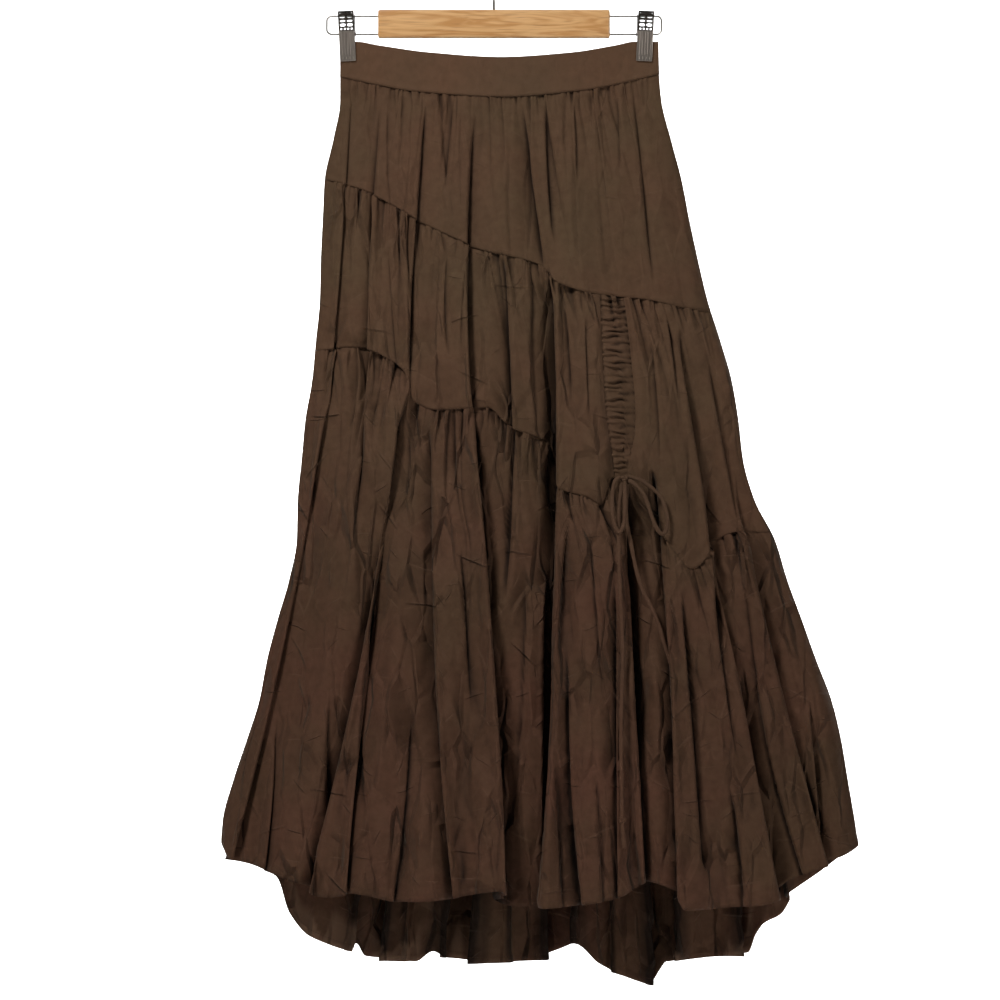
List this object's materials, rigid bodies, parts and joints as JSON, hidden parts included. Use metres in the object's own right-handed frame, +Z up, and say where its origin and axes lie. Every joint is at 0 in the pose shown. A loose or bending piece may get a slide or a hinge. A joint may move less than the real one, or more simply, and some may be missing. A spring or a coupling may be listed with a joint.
{
  "type": "tiered ruffle skirt on a clip hanger",
  "caption": "Long gathered skirt with slanting tiers, a ruched drawstring channel with a bow and a longer back hem, clipped by its waistband to a wooden bar hanger.",
  "frame": {"origin": "top of the hook's inside, where a rail carries the hanger", "axes": "+Z up, -Y out of the skirt's front, +X towards the right of someone facing the front"},
  "size_m": [0.6644, 0.2293, 1.088],
  "materials": {
    "lawn": "crinkled plain-woven cotton lawn, matt with a faint sheen",
    "tie": "narrow cord sewn of the same lawn",
    "wood": "light golden wood with a clear satin lacquer",
    "steel": "brushed steel sheet and drawn wire"
  },
  "bodies": {
    "root": {"waistband_front": "lawn", "yoke_front": "lawn", "lower_tier_front": "lawn", "waistband_back": "lawn", "yoke_back": "lawn", "lower_tier_back": "lawn", "middle_tier_back": "lawn", "middle_tier_front_left": "lawn", "middle_tier_front_right": "lawn", "drawstring_channel": "lawn", "tie_tail_left": "tie", "tie_tail_end": "tie", "tie_tail_right": "tie", "tie_loop_left": "tie", "tie_loop_right": "tie", "tie_bow_knot": "tie", "tie_end_knot": "tie", "hanger_bar": "wood", "hanger_hook": "steel", "wire_loop_left": "steel", "wire_loop_right": "steel", "clip_left_front_jaw": "steel", "clip_left_back_jaw": "steel", "clip_left_saddle": "steel", "clip_right_front_jaw": "steel", "clip_right_back_jaw": "steel", "clip_right_saddle": "steel"}
  },
  "joints": []
}
